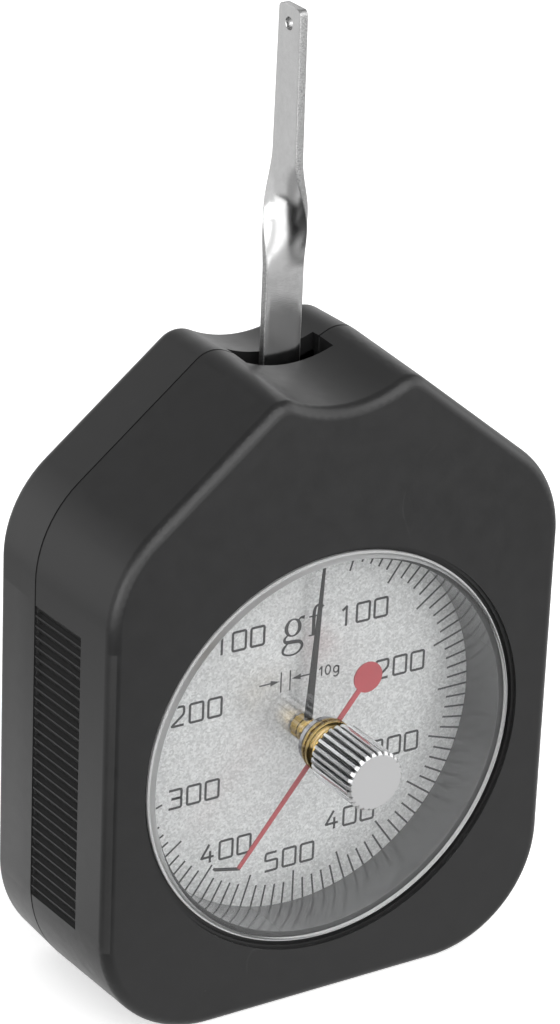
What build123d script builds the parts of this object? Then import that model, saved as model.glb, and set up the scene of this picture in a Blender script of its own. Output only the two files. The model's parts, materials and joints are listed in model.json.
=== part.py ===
"""A dial force gauge: a gabled plastic case, a round dial and a springy feeler lever.

Frame: millimetres, +Z up, the flat base on Z = 0, the dial facing -Y, origin at the middle of the base.
"""
from build123d import *
from math import asin, cos, degrees, hypot, pi, radians, sin, tan
import os

os.makedirs("parts", exist_ok=True)

# ---------------------------------------------------------------- case
case_width = 59.5
case_depth = 24.0
gable_height = 82.3          # where the two roof slopes would meet
gable_angle = 39.0           # slope of the roof, from the horizontal
corner_radius = 14.0
scoop_radius = 14.5          # hollow across the top of the gable
scoop_depth = 9.4            # where the slopes would meet, to the bottom of the hollow
scoop_lip_radius = 3.4
front_draft = 2.5            # degrees by which the front shell narrows towards the front
rear_draft = 1.5             # and the rear cover towards the rear
front_edge_radius = 1.4
rear_edge_radius = 1.4
base_facing = 0.03           # taken off the moulded base to make it flat
side_wall = 2.0
front_wall = 2.0
rear_wall = 2.2
seam_depth = 15.3            # front face to the joint of the two shells
seam_groove_width = 0.18     # fine groove that hides the joint
seam_groove_depth = 0.3
lip_width = 1.0
lip_height = 1.5
shell_clearance = 0.1

slot_width = 11.2
slot_depth = 4.2

grip_top = 48.9
grip_pitch = 1.24
grip_count = 29
grip_cut = 0.6
grip_land = 0.12             # flat left on each crest
grip_front = 6.0             # front face to the start of the grooves

# ---------------------------------------------------------------- window, lens and dial
window_height = 30.9         # base to the dial's centre
window_radius = 24.5
window_step = 0.35
window_step_depth = 0.45
window_groove_depth = 1.0
lens_radius = 23.65
lens_thickness = 1.6
lens_chamfer = 0.25
lens_clearance = 0.1
lens_ledge = 1.0
dial_depth = 8.0             # front face to the dial's printed side
dial_thickness = 0.5
dial_lap = 0.8               # how far the dial reaches behind the well's wall
dial_hole_radius = 1.2
well_wall = 1.7              # plastic outside the dial's pocket

# ---------------------------------------------------------------- movement
module = 0.25
pinion_leaves = 10
wheel_teeth = 200            # a full wheel's count, of which the sector holds a few
plate_thickness = 1.2
plate_overlap = 1.2          # front plate past the dial
plate_gap = 8.2              # between the two plates
sector_thickness = 1.0
carrier_thickness = 1.0
pivot_clearance = 0.03
end_shake = 0.2
lever_arbor_radius = 1.2
lever_pivot_radius = 0.7
centre_arbor_radius = 0.6
centre_front_radius = 0.5
centre_pivot_radius = 0.35
hub_flange_radius = 4.4
hub_boss_radius = 2.2
pillar_radius = 1.9
pillar_tenon_radius = 1.2
lower_pillar_x = 14.0
lower_pillar_drop = 14.9     # below the dial's centre
upper_pillar_x = 13.0
upper_pillar_drop = 22.65    # below the ridge
plate_above_pivot = 6.5      # both plates, over the lever's pivot
plate_below_pillar = 4.0
plate_corner = 4.0
plate_clearance = 1.0        # plates to the case's walls
rear_plate_low_half = 18.0
rear_plate_high_half = 17.0
front_plate_low_half = 19.0
front_plate_high_half = 16.0

# ---------------------------------------------------------------- screws and rivets
screw_clearance = 0.15
screw_end_gap = 0.2          # left under a screw's tip
case_screw_radius = 1.0
case_screw_head_radius = 1.9
case_screw_head_height = 1.3
case_screw_slot = 0.6
case_screw_sink = 2.0        # rear face to the head's seat
case_screw_length = 14.0
case_screw_inset = 6.7       # side wall's outside to the screw
case_screw_height = 8.3      # the lower pair, from the base
case_screw_drop = 3.2        # the upper pair, below the eaves
case_boss_radius = 2.6
movement_screw_radius = 0.8
movement_screw_head_radius = 1.6
movement_screw_head_height = 0.9
movement_screw_slot = 0.5
movement_screw_length = 5.0
movement_screw_margin = 1.75  # past the well's outside
movement_boss_radius = 2.0
pillar_screw_radius = 0.7
pillar_screw_head_radius = 1.5
pillar_screw_head_height = 0.8
pillar_screw_slot = 0.4
pillar_screw_length = 4.2
block_screw_radius = 0.5
block_screw_head_radius = 0.75
block_screw_head_height = 0.6
block_screw_slot = 0.25
block_screw_length = 3.5
block_screw_spacing = 3.1
rivet_radius = 0.5
rivet_head_radius = 0.8
rivet_head_height = 0.3
hub_rivet_reach = 3.3

# ---------------------------------------------------------------- lever
blade_width = 4.8
blade_tip_width = 4.3
blade_thickness = 1.0
blade_depth = 14.6           # front face to the middle of the blade
blade_tip = 112.8            # base to the top of the blade
blade_corner_radius = 0.6
twist_bottom = 83.0
twist_length = 13.5
eye_radius = 0.7
eye_drop = 1.9               # below the tip
pointer_at_rest = 4.0        # degrees clockwise of the zero mark
pointer_full_scale = 180.0

# ---------------------------------------------------------------- pointers and knob
main_pointer_length = 20.5
main_pointer_width = 1.1
main_pointer_tip = 0.25
pointer_thickness = 0.2
main_pointer_lift = 1.5      # above the dial
collet_radius = 1.45
collet_height = 2.3
collet_slots = 12
drag_angle = 38.8            # degrees clockwise of the zero mark
drag_depth = 3.0             # front face to the drag pointer
drag_disc_radius = 1.85
drag_disc_reach = 8.8
drag_arm_width = 0.6
drag_arm_tip_width = 0.45
drag_arm_length = 17.0
drag_foot_reach = 18.8
drag_foot_clearance = 0.2    # between the bent foot and the main pointer
drag_hub_radius = 2.9
drag_hub_thickness = 0.8
spindle_radius = 1.0
bush_radius = 3.15
bush_neck_radius = 2.6
bush_flange = 1.2
knob_radius = 3.45
knob_projection = 8.7        # in front of the case
knob_flutes = 26
flute_radius = 0.3
knob_chamfer = 0.35
washer_thickness = 0.2

# ---------------------------------------------------------------- planes that the parts share
y_front = -case_depth / 2
y_rear = case_depth / 2
y_seam = y_front + seam_depth
y_dial = y_front + dial_depth
y_lens_back = y_front + lens_thickness
y_front_plate = y_dial + dial_thickness + shell_clearance
y_plates_in = y_front_plate + plate_thickness
y_rear_plate = y_plates_in + plate_gap
y_movement_back = y_rear_plate + plate_thickness
y_blade = y_front + blade_depth
y_carrier = y_blade - blade_thickness / 2 - carrier_thickness
y_main_pointer = y_dial - main_pointer_lift
y_drag = y_front + drag_depth

half_width = case_width / 2
eaves_height = gable_height - half_width * tan(radians(gable_angle))
scoop_height = gable_height - scoop_depth + scoop_radius
well_radius = lens_radius - lens_ledge
dial_radius = well_radius + dial_lap
pocket_radius = dial_radius + shell_clearance
ring_radius = pocket_radius + well_wall
plate_radius = dial_radius + plate_overlap

pinion_radius = module * pinion_leaves / 2
sector_radius = module * wheel_teeth / 2
pivot_height = window_height + pinion_radius + sector_radius
gear_ratio = wheel_teeth / pinion_leaves
lever_low = -(pointer_full_scale - pointer_at_rest) / gear_ratio
lever_high = (pointer_full_scale + pointer_at_rest) / gear_ratio


def slab(sketch, front, rear):
    """A flat shape of the XZ plane, thickened from Y = front to Y = rear."""
    return extrude(Plane.XZ.offset(-rear) * sketch, rear - front)


def rod(radius, front, rear, x=0.0, z=0.0):
    """A round bar along Y."""
    return slab(Pos(x, z) * Circle(radius), front, rear)


def turned(profile, x=0.0, z=0.0):
    """A solid of revolution about the Y direction, from (radius, y) points."""
    outline = make_face(Polyline(*[(radius, y, 0) for radius, y in profile], close=True))
    return Pos(x, 0, z) * revolve(outline, Axis.Y)


def polar(reach, angle):
    """Sketch point at a reach and a clockwise angle from the top."""
    return reach * sin(radians(angle)), reach * cos(radians(angle))


def polygon(*points):
    return make_face(Polyline(*points, close=True))


def screw(x, z, head_radius, head_height, radius, seat, tip, slot_width):
    """A slotted cheese-head screw that points forward, its head's seat at Y = seat."""
    head = rod(head_radius, seat, seat + head_height, x, z)
    slot = slab(Pos(x, z) * Rectangle(3 * head_radius, slot_width), seat + head_height / 2, seat + 2 * head_height)
    return head - slot + rod(radius, tip, seat, x, z)


def save(shape, name):
    shape.label = name
    export_step(shape, f"parts/{name}.step")


# ================================================================ case outline
def gable_outline(inset=0.0):
    """The house-shaped outline: flat base, sloping roof and a round hollow at the ridge.

    An inset draws in the sides, the roof and the hollow, and leaves the base where it is.
    """
    half = half_width - inset
    ridge = gable_height - inset / cos(radians(gable_angle))
    eaves = ridge - half * tan(radians(gable_angle))
    house = polygon((-half, -base_facing), (half, -base_facing), (half, eaves), (0, ridge), (-half, eaves))
    corners = [v for v in house.vertices() if abs(v.X) > half / 2]
    house = fillet(corners, corner_radius)
    house = house - Pos(0, scoop_height) * Circle(scoop_radius + inset)
    lips = [
        v
        for v in house.vertices()
        if abs(hypot(v.X, v.Y - scoop_height) - scoop_radius - inset) < 0.01
    ]
    return fillet(lips, scoop_lip_radius - inset)


def drafted_shell(y_end, draft, edge_radius):
    """A solid from the seam to Y = y_end that narrows on the way; its far edges are rounded, its base faced."""
    inset = abs(y_end - y_seam) * tan(radians(draft))
    at_seam = Plane.XZ.offset(-y_seam) * gable_outline()
    at_end = Plane.XZ.offset(-y_end) * gable_outline(inset)
    shell = loft([at_seam.face(), at_end.face()], ruled=True)
    far_end = shell.faces().sort_by(lambda face: abs(face.center().Y - y_end))[0]
    shell = fillet(far_end.edges(), edge_radius)
    return shell - slab(Pos(0, -case_width / 2) * Rectangle(2 * case_width, case_width), y_front - 1, y_rear + 1)


outline = gable_outline()
inner_outline = offset(outline, amount=-side_wall)

# screw places: the case's own four, and the four that hold the movement
case_screw_places = [
    (sx * (half_width - case_screw_inset), z)
    for sx in (-1, 1)
    for z in (case_screw_height, eaves_height - case_screw_drop)
]
movement_screw_reach = ring_radius + movement_screw_margin
movement_screw_angles = (45, 135, 225, 315)
movement_screw_places = [
    (movement_screw_reach * sin(radians(a)), window_height + movement_screw_reach * cos(radians(a)))
    for a in movement_screw_angles
]
lower_pillar = (lower_pillar_x, window_height - lower_pillar_drop)
upper_pillar = (upper_pillar_x, gable_height - upper_pillar_drop)
pillar_places = [(sx * x, z) for sx in (-1, 1) for x, z in (lower_pillar, upper_pillar)]

case_screw_floor = y_rear - case_screw_sink


def slot_cutter():
    """The opening for the lever, cut down through the hollow of the roof."""
    low = gable_height - scoop_depth - 3 * side_wall
    return slab(
        Pos(0, (low + gable_height) / 2) * Rectangle(slot_width, gable_height - low),
        y_blade - slot_depth / 2,
        y_blade + slot_depth / 2,
    )


def grip_cutter(side):
    """Saw-tooth grooves in one side wall; each slopes inwards as it goes down."""
    teeth = []
    for i in range(grip_count):
        top = grip_top - i * grip_pitch
        bottom = top - grip_pitch + grip_land
        tooth = polygon(
            (side, top),
            (0, top),
            (-side * grip_cut, bottom + 0.2),
            (0, bottom),
            (side, bottom),
        )
        teeth.append(slab(tooth, y_front + grip_front - y_seam, 0.01))
    wall = Pos(side * half_width, y_seam) * Rot(0, 0, -side * front_draft)
    return [wall * tooth for tooth in teeth]


def front_case():
    shell = drafted_shell(y_front, front_draft, front_edge_radius)
    shell -= slab(inner_outline, y_front + front_wall, y_seam + 1)
    # the well that carries the lens in front and the dial behind
    shell += rod(ring_radius, y_front + front_wall / 2, y_front_plate, 0, window_height)
    for x, z in movement_screw_places:
        shell += rod(movement_boss_radius, y_front + front_wall / 2, y_front_plate, x, z)
    corner_block = slab(inner_outline, y_front + front_wall / 2, y_seam)
    for x, z in case_screw_places:
        shell += rod(case_boss_radius, y_front + front_wall / 2, y_seam, x, z) & corner_block
    shell -= rod(well_radius, y_front - 1, y_front_plate + 1, 0, window_height)
    shell -= rod(lens_radius + lens_clearance, y_front - 1, y_lens_back, 0, window_height)
    shell -= rod(window_radius, y_front - 1, y_front + window_step_depth, 0, window_height)
    shell -= rod(window_radius - window_step, y_front - 1, y_front + window_groove_depth, 0, window_height)
    shell -= rod(pocket_radius, y_dial, y_front_plate + 1, 0, window_height)
    for x, z in movement_screw_places:
        shell -= rod(movement_screw_radius, y_front_plate - movement_screw_length, y_front_plate + 1, x, z)
    for x, z in case_screw_places:
        shell -= rod(case_screw_radius, case_screw_floor - case_screw_length - screw_end_gap, y_seam + 1, x, z)
    shell -= slot_cutter()
    for side in (-1, 1):
        shell -= grip_cutter(side)
    return shell


def rear_cover():
    cover = drafted_shell(y_rear, rear_draft, rear_edge_radius)
    cover -= slab(inner_outline, y_seam - 1, y_rear - rear_wall)
    groove = slab(outline, y_seam - 1, y_seam + seam_groove_width)
    cover -= groove - slab(offset(outline, amount=-seam_groove_depth), y_seam - 2, y_rear)
    # a lip that drops inside the front shell and keeps the two in line
    lip = slab(offset(outline, amount=-side_wall - shell_clearance), y_seam - lip_height, y_seam + 1)
    lip -= slab(offset(outline, amount=-side_wall - shell_clearance - lip_width), y_seam - lip_height - 1, y_seam + 2)
    root = slab(inner_outline, y_seam, y_seam + 1)
    root -= slab(offset(outline, amount=-side_wall - shell_clearance - lip_width), y_seam - 1, y_seam + 2)
    lip += root
    for x, z in case_screw_places:
        lip -= rod(case_boss_radius + shell_clearance, y_seam - lip_height - 1, y_seam, x, z)
    cover += lip
    block = slab(inner_outline, y_seam, y_rear - rear_wall / 2)
    for x, z in case_screw_places:
        cover += rod(case_boss_radius, y_seam, y_rear - rear_wall / 2, x, z) & block
    for x, z in case_screw_places:
        cover -= rod(case_screw_radius + screw_clearance, y_seam - 1, y_rear, x, z)
        cover -= rod(case_screw_head_radius + screw_clearance, case_screw_floor, y_rear + 1, x, z)
    return cover - slot_cutter()


def case_screws():
    return Compound([
        screw(x, z, case_screw_head_radius, case_screw_head_height, case_screw_radius,
              case_screw_floor, case_screw_floor - case_screw_length, case_screw_slot)
        for x, z in case_screw_places
    ])


# ================================================================ lens, knob and drag pointer
y_knob_base = y_front - 0.3 - washer_thickness
y_bush_top = y_front - 0.3


def window_lens():
    """A flat clear disc with a bevelled edge and a hole for the knob's bush."""
    return turned(
        [
            (bush_neck_radius, y_front),
            (lens_radius - lens_chamfer, y_front),
            (lens_radius, y_front + lens_chamfer),
            (lens_radius, y_lens_back),
            (bush_neck_radius, y_lens_back),
        ],
        z=window_height,
    )


def lens_bush():
    """A brass bush: a grooved flange behind the lens, a neck through it and a rolled rim in front."""
    bore = spindle_radius + pivot_clearance
    y_flange = y_lens_back + bush_flange
    groove = bush_flange / 3
    return turned(
        [
            (bore, y_bush_top),
            (bush_radius - 0.25, y_bush_top),
            (bush_radius, y_front),
            (bush_neck_radius, y_front),
            (bush_neck_radius, y_lens_back),
            (bush_radius, y_lens_back),
            (bush_radius, y_lens_back + groove),
            (bush_radius - 0.2, y_lens_back + groove * 1.5),
            (bush_radius, y_lens_back + groove * 2),
            (bush_radius, y_flange - 0.15),
            (bush_radius - 0.15, y_flange),
            (bore, y_flange),
        ],
        z=window_height,
    )


def knob():
    """A round knob with straight flutes, a bevelled end and a blind bore for its spindle."""
    y_end = y_front - knob_projection
    body = turned(
        [
            (0, y_end),
            (knob_radius - knob_chamfer, y_end),
            (knob_radius, y_end + knob_chamfer),
            (knob_radius, y_knob_base - 0.15),
            (knob_radius - 0.15, y_knob_base),
            (0, y_knob_base),
        ],
        z=window_height,
    )
    for i in range(knob_flutes):
        x, z = polar(knob_radius + flute_radius * 0.35, 360 * i / knob_flutes)
        body -= rod(flute_radius, y_end - 1, y_knob_base + 1, x, z + window_height)
    return body - rod(spindle_radius, y_end + knob_projection / 3, y_knob_base + 1, 0, window_height)


def knob_spindle():
    return rod(spindle_radius, y_front - knob_projection * 2 / 3, y_drag + drag_hub_thickness + 0.4, 0, window_height)


def friction_washer():
    """A spring washer squeezed between the knob and the bush."""
    inner = spindle_radius + screw_clearance
    return turned(
        [(inner, y_knob_base), (bush_radius - 0.3, y_knob_base), (bush_radius - 0.3, y_bush_top), (inner, y_bush_top)],
        z=window_height,
    )


def drag_pointer():
    """The hand-set maximum pointer: a disc on its short arm and a bent foot on its long one."""
    front, rear = y_drag - pointer_thickness / 2, y_drag + pointer_thickness / 2
    half, tip_half = drag_arm_width / 2, drag_arm_tip_width / 2
    flat = Circle(drag_hub_radius - 0.6)
    flat += Pos(0, drag_disc_reach) * Circle(drag_disc_radius)
    flat += polygon((-half, 0), (half, 0), (half, drag_disc_reach), (-half, drag_disc_reach))
    flat += polygon((-half, 0), (half, 0), (tip_half, -drag_arm_length), (-tip_half, -drag_arm_length))
    flat -= Circle(spindle_radius)
    arm = slab(flat, front, rear)
    y_foot = y_main_pointer - pointer_thickness / 2 - drag_foot_clearance
    foot = polygon(
        (front, -drag_arm_length + 0.05),
        (rear, -drag_arm_length + 0.05),
        (y_foot, -drag_foot_reach + 0.1),
        (y_foot, -drag_foot_reach - 0.15),
        (front, -drag_arm_length - 0.1),
    )
    foot = Plane.YZ.offset(-tip_half) * foot
    arm += extrude(foot, drag_arm_tip_width)
    return Pos(0, 0, window_height) * (Rot(0, drag_angle, 0) * arm)


def drag_hub():
    front = y_drag + pointer_thickness / 2
    return turned(
        [
            (spindle_radius, front),
            (drag_hub_radius, front),
            (drag_hub_radius, front + drag_hub_thickness - 0.2),
            (drag_hub_radius - 0.2, front + drag_hub_thickness),
            (spindle_radius, front + drag_hub_thickness),
        ],
        z=window_height,
    )


# ================================================================ dial, main pointer and centre arbor
pinion_thickness = sector_thickness + 0.6
y_sector = y_plates_in + 1.3
y_pinion = y_sector - 0.3
y_hairspring = y_rear_plate - 1.8
hairspring_height = 0.6
hairspring_strip = 0.12
hairspring_collet_radius = 1.5
hairspring_turns = 4
hairspring_pitch = 1.0
stud_radius = 0.5


def dial_plate():
    return rod(dial_radius, y_dial, y_dial + dial_thickness, 0, window_height) - rod(
        dial_hole_radius, y_dial - 1, y_dial + 1, 0, window_height
    )


def main_pointer():
    base, tip = main_pointer_width / 2, main_pointer_tip / 2
    flat = polygon((-base, 0), (base, 0), (tip, main_pointer_length), (-tip, main_pointer_length))
    flat += Circle(collet_radius - 0.1)
    flat -= Circle(collet_radius - 0.45)
    arm = slab(flat, y_main_pointer - pointer_thickness / 2, y_main_pointer + pointer_thickness / 2)
    return Pos(0, 0, window_height) * (Rot(0, pointer_at_rest, 0) * arm)


def pointer_collet():
    """A slotted brass collet that grips the arbor; the pointer sits in its waist."""
    top = y_dial - collet_height
    waist_front = y_main_pointer - pointer_thickness / 2
    waist_rear = y_main_pointer + pointer_thickness / 2
    body = turned(
        [
            (centre_front_radius, top),
            (collet_radius - 0.25, top),
            (collet_radius, top + 0.2),
            (collet_radius, waist_front),
            (collet_radius - 0.45, waist_front),
            (collet_radius - 0.45, waist_rear),
            (collet_radius, waist_rear),
            (collet_radius, y_dial - 0.2),
            (centre_front_radius, y_dial - 0.2),
        ],
        z=window_height,
    )
    for i in range(collet_slots):
        x, z = polar(collet_radius + 0.05, 360 * (i + 0.5) / collet_slots)
        body -= rod(0.16, waist_rear, y_dial, x, z + window_height)
    return body


def centre_arbor():
    front_shoulder = y_plates_in + end_shake
    rear_shoulder = y_rear_plate - end_shake
    shaft = rod(centre_arbor_radius, front_shoulder, rear_shoulder, 0, window_height)
    shaft += rod(centre_front_radius, y_dial - collet_height, front_shoulder, 0, window_height)
    return shaft + rod(centre_pivot_radius, rear_shoulder, y_movement_back, 0, window_height)


def pinion():
    """Clockwork pinion: leaves with radial flanks and round tips."""
    leaf, root = 0.16, pinion_radius - 0.36
    shape = Circle(root)
    for i in range(pinion_leaves):
        one = Pos(0, (root + pinion_radius) / 2) * Rectangle(2 * leaf, pinion_radius - root + 0.1)
        one += Pos(0, pinion_radius + 0.02) * Circle(leaf)
        shape += Rot(0, 0, 360 * i / pinion_leaves) * one
    shape -= Circle(centre_arbor_radius)
    return slab(Pos(0, window_height) * shape, y_pinion, y_pinion + pinion_thickness)


def hairspring_collet():
    return rod(hairspring_collet_radius, y_hairspring - 0.2, y_hairspring + hairspring_height + 0.2, 0, window_height) - rod(
        centre_arbor_radius, y_hairspring - 1, y_hairspring + 2, 0, window_height
    )


def spiral_path(start, pitch, turns):
    """Half circles that grow by half a pitch each, joined end to end."""
    path, radius, x = [], start, start
    for i in range(2 * turns):
        side = 1 if i % 2 == 0 else -1
        centre = x - side * radius
        path.append(ThreePointArc((x, 0), (centre, side * radius), (centre - side * radius, 0)))
        x = centre - side * radius
        radius += pitch / 4
    return path, abs(x)


def hairspring():
    path, _ = spiral_path(hairspring_collet_radius + hairspring_strip / 2 + 0.01, hairspring_pitch, hairspring_turns)
    strip = Sketch() + [
        trace(arc, line_width=hairspring_strip) for arc in path
    ]
    return slab(Pos(0, window_height) * strip, y_hairspring, y_hairspring + hairspring_height)


def hairspring_stud():
    _, reach = spiral_path(hairspring_collet_radius + hairspring_strip / 2 + 0.01, hairspring_pitch, hairspring_turns)
    x = reach + hairspring_strip / 2 + stud_radius + 0.02
    return rod(stud_radius, y_hairspring - 0.4, y_movement_back, x, window_height)


# ================================================================ plates
bush_wall = 0.9
plate_top = pivot_height + plate_above_pivot
plate_room = offset(outline, amount=-side_wall - plate_clearance)


def bush_places():
    """(x, z, bore radius) of the arbors' bearings."""
    return [
        (0, pivot_height, lever_pivot_radius, lever_pivot_radius),
        (0, window_height, centre_front_radius, centre_pivot_radius),
    ]


def front_plate():
    flat = Pos(0, window_height) * Circle(plate_radius)
    ear = 2 * movement_boss_radius + 0.6
    for angle in movement_screw_angles:
        arm = Pos(0, movement_screw_reach / 2) * Rectangle(ear, movement_screw_reach)
        arm += Pos(0, movement_screw_reach) * Circle(ear / 2)
        flat += Pos(0, window_height) * Rot(0, 0, -angle) * arm
    flat += polygon(
        (-front_plate_low_half, window_height),
        (front_plate_low_half, window_height),
        (front_plate_high_half, plate_top),
        (-front_plate_high_half, plate_top),
    )
    flat &= plate_room
    for x, z in movement_screw_places:
        flat -= Pos(x, z) * Circle(movement_screw_radius + screw_clearance)
    for x, z in pillar_places:
        flat -= Pos(x, z) * Circle(pillar_tenon_radius)
    for x, z, front, _ in bush_places():
        flat -= Pos(x, z) * Circle(front + bush_wall)
    return slab(flat, y_front_plate, y_plates_in)


def rear_plate():
    low = lower_pillar[1] - plate_below_pillar
    flat = polygon(
        (-rear_plate_low_half, low),
        (rear_plate_low_half, low),
        (rear_plate_high_half, plate_top),
        (-rear_plate_high_half, plate_top),
    )
    flat = fillet(flat.vertices(), plate_corner) & plate_room
    for x, z in pillar_places:
        flat -= Pos(x, z) * Circle(pillar_screw_radius + screw_clearance)
    for x, z, _, rear in bush_places():
        flat -= Pos(x, z) * Circle(rear + bush_wall)
    for x, z in stop_places():
        flat -= Pos(x, z) * Circle(stop_radius)
    for x, z in block_screw_places():
        flat -= Pos(x, z) * Circle(block_screw_radius + screw_clearance)
    stud_x = hairspring_stud().center().X
    flat -= Pos(stud_x, window_height) * Circle(stud_radius)
    return slab(flat, y_rear_plate, y_movement_back)


def plate_pillars():
    pillars = []
    for x, z in pillar_places:
        pillar = rod(pillar_radius, y_plates_in, y_rear_plate, x, z)
        pillar += rod(pillar_tenon_radius, y_front_plate, y_plates_in, x, z)
        tapped = y_movement_back - pillar_screw_length - screw_end_gap
        pillars.append(pillar - rod(pillar_screw_radius, tapped, y_rear_plate + 1, x, z))
    return Compound(pillars)


def pillar_screws():
    return Compound([
        screw(x, z, pillar_screw_head_radius, pillar_screw_head_height, pillar_screw_radius,
              y_movement_back, y_movement_back - pillar_screw_length, pillar_screw_slot)
        for x, z in pillar_places
    ])


def movement_screws():
    return Compound([
        screw(x, z, movement_screw_head_radius, movement_screw_head_height, movement_screw_radius,
              y_plates_in, y_front_plate - movement_screw_length + screw_end_gap, movement_screw_slot)
        for x, z in movement_screw_places
    ])


def arbor_bushes():
    bushes = []
    for x, z, front, rear in bush_places():
        for radius, low, high in ((front, y_front_plate, y_plates_in), (rear, y_rear_plate, y_movement_back)):
            bushes.append(
                rod(radius + bush_wall, low, high, x, z) - rod(radius + pivot_clearance, low - 1, high + 1, x, z)
            )
    return Compound(bushes)


# ================================================================ lever, sector and measuring spring
carrier_half_width = 3.5
carrier_headroom = 1.9       # top of the carrier to the ceiling over it
carrier_top = gable_height - scoop_depth - side_wall - carrier_headroom
stop_radius = 0.8
stop_reach = 9.0
spring_x = 8.0
spring_top = 42.0
spring_thickness = 0.8
spring_width = 3.0
spring_foot = 15.0
block_height = 5.0
block_width = 5.2
blade_foot = pivot_height + 5.0
blade_rivet_inset = 1.7      # blade's foot to the lower rivet
blade_rivet_spacing = 3.2
blade_rivet_heights = (blade_foot + blade_rivet_inset, blade_foot + blade_rivet_inset + blade_rivet_spacing)


def stop_places():
    """Where a pin must stand to stop the carrier just past each end of its swing."""
    lean = degrees(asin((carrier_half_width + stop_radius + 0.08) / stop_reach))
    places = []
    for limit, side in ((lever_high, 1), (lever_low, -1)):
        x, z = polar(stop_reach, limit + side * lean)
        places.append((x, z + pivot_height))
    return places


def block_screw_places():
    return [(spring_x + side * block_screw_spacing / 2, spring_foot + block_height / 2) for side in (-1, 1)]


def stop_pins():
    return Compound([rod(stop_radius, y_carrier - 0.3, y_movement_back, x, z) for x, z in stop_places()])


def lever_arbor():
    front_shoulder = y_plates_in + end_shake
    rear_shoulder = y_rear_plate - end_shake
    shaft = rod(lever_arbor_radius, front_shoulder, rear_shoulder, 0, pivot_height)
    shaft += rod(lever_pivot_radius, y_front_plate + 0.1, front_shoulder, 0, pivot_height)
    return shaft + rod(lever_pivot_radius, rear_shoulder, y_movement_back + 0.3, 0, pivot_height)


def lever_hub():
    """A turned hub: a flange between the sector and the carrier, and a boss through each."""
    y_sector_back = y_sector + sector_thickness
    hub = rod(hub_flange_radius, y_sector_back, y_carrier, 0, pivot_height)
    hub += rod(hub_boss_radius, y_sector, y_carrier + carrier_thickness, 0, pivot_height)
    hub -= rod(lever_arbor_radius, y_sector - 1, y_carrier + 2, 0, pivot_height)
    for x, z in hub_rivet_places():
        hub -= rod(rivet_radius, y_sector_back - 1, y_carrier + 1, x, z)
    return hub


def hub_rivet_places():
    places = []
    for angle in (0, 120, 240):
        x, z = polar(hub_rivet_reach, angle)
        places.append((x, z + pivot_height))
    return places


def rivet(x, z, front, rear):
    """A shank with a low head on each end."""
    return (
        rod(rivet_radius, front, rear, x, z)
        + rod(rivet_head_radius, front - rivet_head_height, front, x, z)
        + rod(rivet_head_radius, rear, rear + rivet_head_height, x, z)
    )


def hub_rivets():
    return Compound([rivet(x, z, y_sector, y_carrier + carrier_thickness) for x, z in hub_rivet_places()])


def blade_rivets():
    return Compound([rivet(0, z, y_carrier, y_blade + blade_thickness / 2) for z in blade_rivet_heights])


def lever_carrier():
    """The stamped plate that joins the blade to the hub and reaches down to the leaf spring."""
    flat = Pos(0, pivot_height) * Circle(hub_flange_radius + 0.6)
    flat += polygon(
        (-carrier_half_width, pivot_height),
        (carrier_half_width, pivot_height),
        (carrier_half_width, carrier_top),
        (-carrier_half_width, carrier_top),
    )
    tail_end = (spring_x, spring_top - 1.0)
    flat += polygon(
        (-1.5, pivot_height - 3),
        (4.0, pivot_height - 1),
        (tail_end[0] + 2.2, tail_end[1]),
        (tail_end[0] - 2.2, tail_end[1]),
    )
    flat -= Pos(spring_x, spring_top - 1) * Rectangle(spring_thickness + 0.2, 5)
    flat -= Pos(0, pivot_height) * Circle(hub_boss_radius)
    for x, z in hub_rivet_places() + [(0, z) for z in blade_rivet_heights]:
        flat -= Pos(x, z) * Circle(rivet_radius)
    return slab(flat, y_carrier, y_carrier + carrier_thickness)


def sector_gear():
    """A toothed sector that hangs from the hub; its middle gap faces the pinion."""
    teeth_each_side = int((lever_high + 3) / (360 / wheel_teeth)) + 1
    spread = (teeth_each_side + 0.5) * 360 / wheel_teeth
    root = sector_radius - 0.4
    rim = Circle(root) - Circle(root - 3.0)
    reach = 2 * sector_radius
    wedge = polygon((0, 0), (reach * tan(radians(-spread)), -reach), (reach * tan(radians(spread)), -reach))
    flat = rim & wedge
    x, z = root * sin(radians(spread)), -(root - 1.5) * cos(radians(spread))
    flat += polygon((-3.2, 0), (3.2, 0), (x - 0.5, z), (x - 4.5, z)) - Circle(0.1)
    flat += polygon((-3.2, 0), (3.2, 0), (-x + 4.5, z), (-x + 0.5, z)) - Circle(0.1)
    flat += Circle(hub_flange_radius + 0.4)
    profile = ((root - 0.1, 0.21), (sector_radius, 0.18), (sector_radius + 0.14, 0.13), (sector_radius + 0.26, 0.05))
    tooth = polygon(*[(-half, -reach) for reach, half in profile], *[(half, -reach) for reach, half in profile[::-1]])
    for i in range(-teeth_each_side, teeth_each_side):
        flat += Rot(0, 0, (i + 0.5) * 360 / wheel_teeth) * tooth
    flat -= Circle(hub_boss_radius)
    for x, z in hub_rivet_places():
        flat -= Pos(x, z - pivot_height) * Circle(rivet_radius)
    return slab(Pos(0, pivot_height) * flat, y_sector, y_sector + sector_thickness)


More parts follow.
